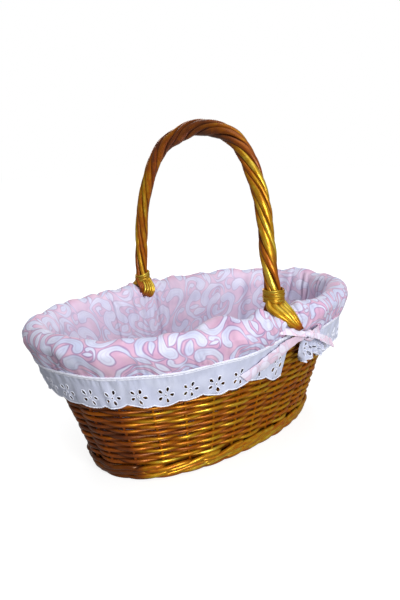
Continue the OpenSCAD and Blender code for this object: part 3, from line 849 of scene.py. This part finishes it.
def slit(s, v_d, v_z):
    """How far the panel's edge stands back from the foot's middle, in mm."""
    s = np.mod(s, 1)[:, None]
    outer = np.interp(v_z, [110, 124, 132, 141, 150], [4.0, 3.0, 4.5, 6.5, 8.0])
    inner = np.interp(v_z, [136.5, 139, 141, 144, 150], [0.0, 2.0, 3.2, 4.6, 8.0])
    wider = np.where((s > 0.5) & (s < 0.75), 1.35, np.where((s > 0.25) & (s <= 0.5), 0.55, 0.8))
    return np.where(v_d > 0.5, outer, inner) * wider


NV = 132
# where along the rim, half width in mm, depth
CREASES = [(0.300, 1.5, 0.55), (0.229, 2.3, 0.8), (0.085, 5.5, 0.85), (0.40, 1.2, 0.5), (0.66, 1.5, 0.6), (0.80, 1.3, 0.7), (0.90, 3.0, 0.5), (0.58, 1.5, 0.6)]


def crease_at(s):
    s = np.mod(s, 1)
    return sum(deep * bell((s - at) * GIRTH, 0, wide) for at, wide, deep in CREASES)


def panel(name, node, s_mid, seed):
    nu = 420
    u = np.linspace(-1, 1, nu)
    line = np.stack([spline(profile(s_mid + 0.25 * x), NV) for x in u])
    dz = line
    tan = unit(np.gradient(dz, axis=1))
    nrm = np.stack([tan[..., 1], -tan[..., 0]], -1)
    v_mm = np.concatenate([np.zeros((nu, 1)), np.cumsum(np.linalg.norm(np.diff(dz, axis=1), axis=2), axis=1)], 1)
    back = slit(s_mid + 0.25 * u, dz[..., 0], dz[..., 1]) / GIRTH
    s = s_mid + u[:, None] * (0.25 - back)
    k = np.clip((dz[..., 1] - BASE_Z) / (RIM_Z - BASE_Z), 0, 1)
    girth_here = T0[2] * (1 - k) + T1[2] * k
    u_mm = (s - s_mid) * girth_here
    soft, crease, wide = Field(seed, 22, 60), Field(seed + 1, 9, 26, 30, 1.6), Field(seed + 2, 45, 120, 16, 2.2)
    inside = smooth(0.0, -9.0, dz[..., 0])
    cuff = 1 - inside
    amp = 1.0 * soft(u_mm, v_mm) + 0.32 * crease(u_mm, v_mm)
    fold = np.maximum(0, wide(u_mm, 0.5 * v_mm)) ** 1.5
    end = smooth(150, 235, np.abs(u_mm))
    disp = cuff * (0.75 * amp) + inside * (0.55 * amp + 1.7 * fold)
    # folds run down from the crest inside the right end
    mid = np.mod(s + 0.5, 1) - 0.5
    ridge = np.abs(np.sin(PI * u_mm / 15.0 + 0.9 * soft(u_mm, 0.4 * v_mm))) - 0.55
    disp += 3.2 * ridge * inside * bell(mid, -0.01, 0.055) * smooth(95, 125, dz[..., 1]) * (1 - 0.5 * smooth(138, 150, dz[..., 1]))
    # gathers along the seam with the trim
    pleat = np.sin(2 * PI * u_mm / 9.5 + 2.2 * soft(u_mm, 0))
    disp += 0.75 * pleat * np.exp(-v_mm / 8.0) * smooth(0, 4, v_mm)
    # drawn in at the handle feet
    near = from_foot(s)
    disp += 1.5 * np.sin(2 * PI * near / 10.0 + 1.8 * soft(u_mm, v_mm)) * np.exp(-near / 22.0) * (0.4 + 0.6 * cuff)
    # the seam between the panels, and long creases inside
    line_in = inside * (0.35 * bell(near, 0.5, 1.5) + crease_at(s))
    line_in = line_in * smooth(12, 40, dz[..., 1]) * (1 - smooth(136, 147, dz[..., 1]))
    disp -= 1.0 * line_in
    # a pinched hollow on the front roll, left of the near foot
    hollow = bell(s, 0.675, 0.012) * bell(dz[..., 0], 6.0, 4.5) * (dz[..., 1] > 139)
    disp -= 4.7 * hollow
    disp = np.where(inside > 0.5, np.maximum(disp, -1.2), np.maximum(disp, -4.5))
    # pushed in beside the feet's inner rods
    disp += 3.8 * inside * bell(near, 0, 9) * bell(dz[..., 1], 144, 4.5)
    sewn = smooth(0.5, 9.0, near)
    disp = np.where((dz[..., 0] < -5) & (dz[..., 1] < 140), disp * sewn - 0.4 * (1 - sewn), disp)
    disp = disp * np.where(inside > 0.5, smooth(15, 30, dz[..., 1]), 1)
    dz = dz + disp[..., None] * nrm
    verts = pt(s, dz[..., 0], dz[..., 1])
    curve = np.gradient(np.gradient(disp, axis=0), axis=0)
    shade = np.clip(1.0 - 1.2 * np.maximum(0, curve) - 0.5 * hollow - 0.45 * line_in, 0.3, 1)
    co = np.stack([u_mm + 1000 + 311 * seed, v_mm.mean(0) + 0 * v_mm, 0 * v_mm], -1)
    tone = np.stack([inside, 0.5 + 0 * v_mm, shade], -1)
    b = Build()
    b.add(verts, grid_faces(nu, NV), co.reshape(-1, 3), tone.reshape(-1, 3))
    area = 0.0
    e1, e2 = np.diff(verts, axis=0)[:, :-1], np.diff(verts, axis=1)[:-1]
    area = np.linalg.norm(np.cross(e1, e2), axis=-1).sum() * 1e-6
    length = (0.5 * GIRTH + 0.0) * MM
    height = float(v_mm[:, -1].mean()) * MM
    ob = make(name, b, PRINT, (node,))
    return ob, length, height, area, verts


left, l_len, l_high, l_area, l_verts = panel("liner_left_panel", "left_panel", 0.5, 31)
right, r_len, r_high, r_area, r_verts = panel("liner_right_panel", "right_panel", 0.0, 37)

b = Build()
rings, spokes = 34, 160
rho = np.linspace(0.02, 1.0, rings)[:, None]
s = np.linspace(0, 1, spokes, endpoint=False)[None, :]
edge = side(s[0], 16.0) - 7.3 * outward(s[0])
xy = rho[..., None] * edge[None]
wr = Field(41, 30, 90)
z = 15.4 + 0.5 * np.maximum(0, wr(xy[..., 0], xy[..., 1])) + 1.2 * smooth(0.9, 1.0, rho)
verts = np.concatenate([xy, z[..., None]], -1)
co = np.concatenate([xy + 5000, 0 * z[..., None]], -1)
b.add(verts, [q[::-1] for q in grid_faces(rings, spokes, False, True)], co.reshape(-1, 3), (1.0, 0.5, 1.0))
b.f.append(tuple(range(spokes)))
floor_piece = make("liner_bottom", b, PRINT, ("liner_floor",))

# ---------------------------------------------------------------- eyelet trim
CELL, TALL = 28.0, 30.0


def hem_line(x):
    """Scalloped lower edge, one scallop to a cell."""
    return 2.4 * (1 - np.sin(PI * np.clip(x / CELL, 0, 1)) ** 0.8)


def holes():
    """Outlines of one flower's eyelets, in the cell."""
    out = []
    cx, cy = CELL / 2, 11.0
    for k in range(5):
        a = math.radians(-6 + 72 * k)
        px, py = cx + 6.7 * math.cos(a), cy + 5.7 * math.sin(a)
        t = np.linspace(0, 2 * PI, 12, endpoint=False)
        ex, ey = 2.5 * np.cos(t), 1.7 * np.sin(t) * (1 + 0.22 * np.cos(t))
        out.append(np.stack([px + ex * math.cos(a) - ey * math.sin(a), py + ex * math.sin(a) + ey * math.cos(a)], -1))
    t = np.linspace(0, 2 * PI, 10, endpoint=False)
    out.append(np.stack([cx + 1.1 * np.cos(t), cy + 1.1 * np.sin(t)], -1))
    return out


HOLES = holes()


def trim_cell():
    """Triangles of one repeat, with its eyelets open."""
    levels = np.linspace(hem_line(0.0), TALL, 19)
    xs = np.linspace(0, CELL, 17)
    bottom = [(x, float(hem_line(x))) for x in xs]
    rightside = [(CELL, y) for y in levels[1:]]
    top = [(x, TALL) for x in xs[::-1][1:]]
    leftside = [(0.0, y) for y in levels[::-1][1:-1]]
    outline = bottom + rightside + top + leftside
    pts = [Vector(p) for p in outline]
    edges = [(i, (i + 1) % len(outline)) for i in range(len(outline))]
    faces = []
    for h in HOLES:
        n0 = len(pts)
        pts += [Vector(p) for p in h]
        edges += [(n0 + i, n0 + (i + 1) % len(h)) for i in range(len(h))]
    mids = [(h.mean(0), h) for h in HOLES]
    r = np.random.default_rng(5)
    for y in np.arange(2.6, TALL - 0.8, 1.55):
        for x in np.arange(1.5, CELL - 0.8, 1.6):
            q = np.array([x, y]) + r.uniform(-0.2, 0.2, 2)
            if y < hem_line(q[0]) + 0.9:
                continue
            if min(np.linalg.norm(h - q, axis=1).min() for h in HOLES) < 0.75:
                continue
            if any(np.linalg.norm((q - c)) < np.linalg.norm(h - c, axis=1).min() + 0.2 for c, h in mids):
                continue
            pts.append(Vector(q))
    vs, es, fs, *_ = delaunay_2d_cdt(pts, edges, faces, 1, 1e-5)
    vs = np.array([tuple(v) for v in vs])
    keep = []
    for f in fs:
        c = vs[list(f)].mean(0)
        if any(within(c, h) for h in HOLES):
            continue
        keep.append(tuple(f))
    return vs, keep


def within(p, poly):
    x, y = p
    x0, y0 = poly[:, 0], poly[:, 1]
    x1, y1 = np.roll(x0, -1), np.roll(y0, -1)
    cross = ((y0 > y) != (y1 > y)) & (x < (x1 - x0) * (y - y0) / (y1 - y0 + 1e-12) + x0)
    return bool(cross.sum() % 2)


CELL_V, CELL_F = trim_cell()


class Trim:
    """Maps trim coordinates (x along, y up from the hem, lift off the cloth) to space."""

    def __init__(self, s_mid, seed):
        self.n = 20
        self.long = self.n * CELL
        # bunched together at its first end, flat at the other
        self.first = s_mid - 0.25 + 25.0 / GIRTH
        self.arc = 0.5 * GIRTH - 18.5
        self.wave, self.small = Field(seed, 28, 70, 16), Field(seed + 1, 9, 18, 14, 2.0)

    def s(self, x):
        # distances from the flat end, on the trim and on the basket: it is sewn on fuller round the basket's end
        flat = np.array([238.0, 210, 182, 154, 126, 98, 70, 42, 14, 0])
        sewn = np.array([214.0, 194.5, 172.5, 148.5, 125, 98.5, 70, 41.5, 13.5, 0])
        at = np.interp(x, np.concatenate([[0, 72, 125], self.long - flat]), np.concatenate([[0, 28, 66], self.arc - sewn]))
        return self.first + (at + np.maximum(0, x - self.long)) / GIRTH

    def __call__(self, x, y, lift=0.0):
        x, y, lift = np.broadcast_arrays(np.asarray(x, float), np.asarray(y, float), np.asarray(lift, float))
        s = self.s(x)
        low, high = hem_z(s), seam_z(s) - 0.6
        h = y / TALL
        pull = 1 - smooth(60, 130, x)
        ripple = 1.35 * self.wave(x, 0.3 * y) * (1 - h) + 0.35 * self.small(x, y)
        fold = 2 * PI * x / 17.0 + 1.5 * self.wave(x, 0.9 * y) + 1.1 * h
        ripple += pull * (4.4 + 1.7 * self.wave(0.6 * x + 90, y)) * (np.sin(fold) + 0.3 * np.sin(2.3 * fold + 1) + 0.75) * (1 - 0.55 * h)
        pleat = 0.4 * np.sin(2 * PI * x / 6.1 + 2 * self.wave(x, 0)) * smooth(0.6, 1.0, h)
        flare = (5.0 * bell(np.mod(s, 1), 0.90, 0.06) + 3.5 * pull * (1 - h)) * (1 - h)
        d = 8.9 + 0.6 * h + np.maximum(ripple + pleat, -0.9) + 1.5 * pull + flare + lift
        crumple = pull * (1 - h) * (3.2 * self.wave(1.7 * x + 40, 0.5 * y) + 1.5)
        return pt(s + 0.9 * pull * (1 - h) * self.small(x, 0.4 * y) / GIRTH, d, low + crumple + (high - low) * h)


def trim(side_name, s_mid, seed):
    t = Trim(s_mid, seed)
    b = Build()
    for c in range(t.n):
        x = CELL_V[:, 0] + c * CELL
        verts = t(x, CELL_V[:, 1])
        co = np.stack([x + 900 * seed, CELL_V[:, 1], 0 * x], -1)
        b.add(verts, CELL_F, co, (0.5, 0.5, 1.0))
    lace = make(f"{side_name}_eyelet_trim", b, TRIM, (f"{side_name}_lace",))
    weld = lace.modifiers.new("weld", "WELD")
    weld.merge_threshold = 0.00004
    thick = lace.modifiers.new("cloth", "SOLIDIFY")
    thick.thickness = 0.0006
    thick.offset = 0
    # stitched rims round the eyelets, and the corded hem
    b = Build()
    for c in range(t.n):
        for h in HOLES:
            mid = h.mean(0)
            g = mid + (h - mid) * 1.12
            p = t(g[:, 0] + c * CELL, g[:, 1], 0.35)
            sweep(b, p, 0.52, 5, closed=True, ref=(*outward(t.s(mid[0] + c * CELL)), 0.0), tone=(0.5, 0.5, 1.0))
    x = np.linspace(0, t.long, t.n * 16 + 1)
    y = hem_line(np.mod(x, CELL)) + 0.15
    p = t(x, y, 0.1)
    sweep(b, p, 0.75 + 0.18 * np.sin(2 * PI * x / 3.4), 6, tone=(0.5, 0.5, 1.0))
    stitched = make(f"{side_name}_trim_stitching", b, THREAD, ())
    # the corded heading
    b = Build()
    x = np.linspace(0, t.long, 420)
    s = t.s(x)
    for k, (lift, up, r) in enumerate(((0.9, 0.6, 1.15), (0.35, -1.5, 0.75))):
        p = pt(s, 9.6 + lift + 0.15 * np.sin(2 * PI * x / 6.5), seam_z(s) + up)
        sweep(b, p, r * (1 + 0.10 * np.sin(2 * PI * x / 2.6)), 7, tone=(0.5, 0.5, 1.0))
    head = make(f"{side_name}_corded_heading", b, THREAD, (f"{side_name}_heading",))
    return lace, stitched, head, t


l_trim = trim("left", 0.5, 51)
r_trim = trim("right", 0.0, 57)


# ---------------------------------------------------------------- ties
def ribbon(b, pts, width, thick, n=60, curl=0.0, point=0.0, seed=1, face=(0, -1, 0.25), twist=0.0, crimp=0.35):
    """A folded strip of cloth with rounded edges along pts, its broad face towards face."""
    p = spline(pts, n)
    t = unit(np.gradient(p, axis=0))
    q = np.linspace(0, 1, n)
    length = np.linalg.norm(np.diff(p, axis=0), axis=1).sum()
    f = np.broadcast_to(np.asarray(face, float), (n, 3))
    nrm = unit(f - (f * t).sum(-1, keepdims=True) * t)
    acr = np.cross(t, nrm)
    a = twist * q
    nrm, acr = (np.cos(a)[:, None] * nrm + np.sin(a)[:, None] * acr, np.cos(a)[:, None] * acr - np.sin(a)[:, None] * nrm)
    w = np.interp(q, np.linspace(0, 1, len(width)), width)
    ang = np.linspace(0, 2 * PI, 22, endpoint=False)
    cx = np.sign(np.cos(ang)) * np.abs(np.cos(ang)) ** 0.6
    cy = np.sign(np.sin(ang)) * np.abs(np.sin(ang)) ** 0.8
    fld = Field(seed, 6, 18, 14)
    X = 0.5 * w[:, None] * cx[None, :]
    cut = point * (0.5 + X / max(w.max(), 1)) * np.clip((q - 0.75) / 0.25, 0, 1)[:, None]
    Y = 0.5 * thick * cy[None, :] + curl * ((X / (0.5 * w.max())) ** 2) + crimp * fld(q[:, None] * length, X)
    verts = p[:, None, :] + X[..., None] * acr[:, None, :] + Y[..., None] * nrm[:, None, :] + cut[..., None] * t[:, None, :]
    faces = grid_faces(n, 22, False, True)
    faces += [tuple(range(22))[::-1], tuple(range((n - 1) * 22, n * 22))]
    co = np.zeros((n, 22, 3))
    co[..., 0] = (q * length)[:, None] + 50 * seed
    co[..., 1] = X + 20
    co[..., 2] = 0.5 * thick * cy
    shade = 1 - 0.35 * (np.abs(cx) > 0.93)
    tone = np.stack(np.broadcast_arrays(0.5, 0.5, shade[None, :] + 0 * X), -1)
    b.add(verts, faces, co.reshape(-1, 3), tone.reshape(-1, 3))
    return length


def laid_tail(b, t, seed):
    """A tail that leaves the knot and lies down on the trim t near its flat end."""
    n, m = 84, 22
    q = np.linspace(0, 1, n)
    c = spline([(t.long + 9.0, 31.0), (t.long + 2, 29.5), (t.long - 11, 24.5), (t.long - 28, 19.0), (t.long - 45, 13.5), (t.long - 62, 8.5)], n)
    tan = unit(np.gradient(c, axis=0))
    acr = np.stack([-tan[:, 1], tan[:, 0]], -1)
    w = np.interp(q, [0, 0.15, 0.35, 0.6, 1], [4.5, 7.5, 10.5, 12.5, 12.0])
    ang = np.linspace(0, 2 * PI, m, endpoint=False)
    cx = np.sign(np.cos(ang)) * np.abs(np.cos(ang)) ** 0.6
    cy = np.sign(np.sin(ang)) * np.abs(np.sin(ang)) ** 0.8
    X = 0.5 * w[:, None] * cx[None, :]
    cut = 7.0 * (0.5 - X / w.max()) * np.clip((q - 0.75) / 0.25, 0, 1)[:, None]
    at = c[:, None, :] + X[..., None] * acr[:, None, :] + cut[..., None] * tan[:, None, :]
    fld = Field(seed, 7, 20, 14)
    length = np.linalg.norm(np.diff(c, axis=0), axis=1).sum()
    rise = np.interp(q, [0, 0.10, 0.24, 0.42, 1], [13.0, 8.6, 4.2, 2.0, 1.5])
    up = rise[:, None] + 0.55 * cy[None, :] + 0.45 * np.maximum(-1, fld(q[:, None] * length, X)) + 0.5 * (1 - np.abs(cx[None, :]) ** 2)
    verts = t(at[..., 0], at[..., 1], up)
    co = np.zeros((n, m, 3))
    co[..., 0] = (q * length)[:, None] + 50 * seed
    co[..., 1] = X + 20
    co[..., 2] = 0.55 * cy
    tone = np.stack(np.broadcast_arrays(0.5, 0.5, 1 - 0.35 * (np.abs(cx) > 0.93)[None, :] + 0 * X), -1)
    faces = [f[::-1] for f in grid_faces(n, m, False, True)]
    faces += [tuple(range(m)), tuple(range((n - 1) * m, n * m))[::-1]]
    b.add(verts, faces, co.reshape(-1, 3), tone.reshape(-1, 3))
    return length


def tie(where, sgn, seed, on):
    def put(name, node, draw, placed=False):
        b = Build()
        length = draw(b)
        if sgn < 0 and not placed:
            b.v = [v * np.array([-1, -1, 1]) for v in b.v]
        return make(f"{where}_{name}", b, TIE, (f"{where}_{node}",)), length

    out = {}
    out["left_strap"] = put("tie_left_strap", "left_strap", lambda b: ribbon(
        b, [(-21, -112.6, 134.6), (-15, -117.4, 134.0), (-8, -120.8, 132.6), (1, -123.8, 130.2), (12, -126.0, 126.4)], [6, 6.5, 7, 6.5, 5], 1.5, 44, 0.9, 0, seed))
    out["right_strap"] = put("tie_right_strap", "right_strap", lambda b: ribbon(
        b, [(58, -108.6, 120.6), (50, -113.8, 121.6), (41, -118.4, 122.8), (30, -122.8, 124.4), (20, -126.0, 125.4)], [8, 8.5, 8, 6.5, 5], 1.5, 44, 0.9, 0, seed + 1))

    def knot(b):
        ring = []
        for k in range(25):
            a = 2 * PI * k / 24
            ring.append((16.5 + 1.0 * math.sin(2 * a), -126.2 + 3.4 * math.cos(a), 124.8 + 4.4 * math.sin(a)))
        p = np.array(ring[:-1])
        n = len(p)
        out_ = unit(p - np.array([16.5, -126.2, 124.8]))
        ang = np.linspace(0, 2 * PI, 14, endpoint=False)
        X = 5.0 * np.cos(ang)[None, :] * (1 + 0.12 * np.sin(3 * np.linspace(0, 2 * PI, n))[:, None])
        Y = 1.5 * np.sin(ang)[None, :] - 0.07 * X**2 + 0.35 * np.sin(1.9 * X + 0.6 * np.arange(n)[:, None])
        verts = p[:, None, :] + X[..., None] * ux + Y[..., None] * out_[:, None, :]
        co = np.concatenate([np.stack(np.broadcast_arrays(np.arange(n)[:, None] * 1.3, X), -1), Y[..., None]], -1)
        b.add(verts, grid_faces(n, 14, True, True), co.reshape(-1, 3), (0.5, 0.5, 0.95))
        ribbon(b, [(10.5, -126.0, 128.2), (15.5, -130.2, 126.2), (21.5, -127.0, 122.0)], [5, 7, 5], 2.0, 26, -0.6, 0, seed + 2)
        return 0

    out["knot"] = put("tie_knot", "knot", knot)
    out["left_tail"] = put("tie_left_tail", "left_tail", lambda b: laid_tail(b, on, seed + 3), True)
    out["right_tail"] = put("tie_right_tail", "right_tail", lambda b: ribbon(
        b, [(20.5, -126.0, 124.4), (33, -124.4, 119.8), (49, -120.2, 113.0), (65, -115.0, 106.0), (80, -109.6, 99.4)],
        [5, 6.5, 8.5, 9.5, 9], 1.3, 80, 1.2, 7, seed + 4, twist=-0.2, crimp=0.5))
    return out


near_tie = tie("near", 1, 71, l_trim[3])
far_tie = tie("far", -1, 81, r_trim[3])

# ---------------------------------------------------------------- room, light and camera
scene = bpy.context.scene
scene.view_settings.view_transform = "Standard"

me = bpy.data.meshes.new("floor")
R = 14.0
me.from_pydata([(-R, -R, 0), (R, -R, 0), (R, R, 0), (-R, R, 0)], [], [(0, 1, 2, 3)])
floor_mat = bpy.data.materials.new("floor paper")
floor_mat.use_nodes = True
sh = floor_mat.node_tree.nodes["Principled BSDF"]
sh.inputs["Base Color"].default_value = (0.30, 0.30, 0.30, 1)
sh.inputs["Emission Color"].default_value = (1.0, 1.0, 1.0, 1)
sh.inputs["Emission Strength"].default_value = 0.80
sh.inputs["Roughness"].default_value = 0.9
sh.inputs["Specular IOR Level"].default_value = 0.1
me.materials.append(floor_mat)
ground = bpy.data.objects.new("floor", me)
scene.collection.objects.link(ground)
# the paper shows white without throwing its light back up under the object
ground.visible_diffuse = False
ground.visible_glossy = False

world = bpy.data.worlds.new("studio")
scene.world = world
world.use_nodes = True
bg = next(n for n in world.node_tree.nodes if n.type == "BACKGROUND")
bg.inputs["Color"].default_value = (1.0, 1.0, 1.0, 1)
bg.inputs["Strength"].default_value = 0.29
# a white backdrop behind the object, without its light on it
seen = world.node_tree.nodes.new("ShaderNodeBackground")
seen.inputs["Color"].default_value = (1.0, 1.0, 1.0, 1)
seen.inputs["Strength"].default_value = 1.0
ray = world.node_tree.nodes.new("ShaderNodeLightPath")
pick = world.node_tree.nodes.new("ShaderNodeMixShader")
world.node_tree.links.new(ray.outputs["Is Camera Ray"], pick.inputs[0])
world.node_tree.links.new(bg.outputs[0], pick.inputs[1])
world.node_tree.links.new(seen.outputs[0], pick.inputs[2])
world.node_tree.links.new(pick.outputs[0], next(n for n in world.node_tree.nodes if n.type == "OUTPUT_WORLD").inputs[0])


def lamp(name, at, to, size, power, colour=(1, 1, 1)):
    d = bpy.data.lights.new(name, "AREA")
    d.shape = "DISK"
    d.size = size
    d.energy = power
    d.color = colour
    o = bpy.data.objects.new(name, d)
    scene.collection.objects.link(o)
    o.location = at
    o.rotation_euler = (Vector(to) - Vector(at)).to_track_quat("-Z", "Y").to_euler()
    return o


lamp("key", (-0.52, -1.42, 0.50), (0.0, 0.0, 0.12), 0.8, 21)
lamp("back fill", (0.95, 1.30, 0.65), (0.0, 0.0, 0.12), 1.2, 12)
sun_data = bpy.data.lights.new("overhead", "SUN")
sun_data.energy = 1.25
sun_data.angle = math.radians(75)
sun = bpy.data.objects.new("overhead", sun_data)
sun.rotation_euler = (math.radians(14), math.radians(-6), 0)
scene.collection.objects.link(sun)

# The camera is fitted to the photo's rim, base and handle outlines.
cam_data = bpy.data.cameras.new("camera")
cam_data.sensor_width = 36
cam_data.lens = 625.168 / 600 * 36
cam = bpy.data.objects.new("camera", cam_data)
scene.collection.objects.link(cam)
eye = Vector((-0.46566, -0.46097, 0.2912))
right_v, up_v, fwd_v = Vector((0.6999, -0.7133, -0.0363)), Vector((0.1789, 0.1259, 0.9758)), Vector((0.6915, 0.6894, -0.2158))
rot = Matrix((right_v, up_v, -fwd_v)).transposed()
cam.matrix_world = Matrix.Translation(eye) @ rot.to_4x4()
scene.camera = cam

bpy.context.view_layer.update()
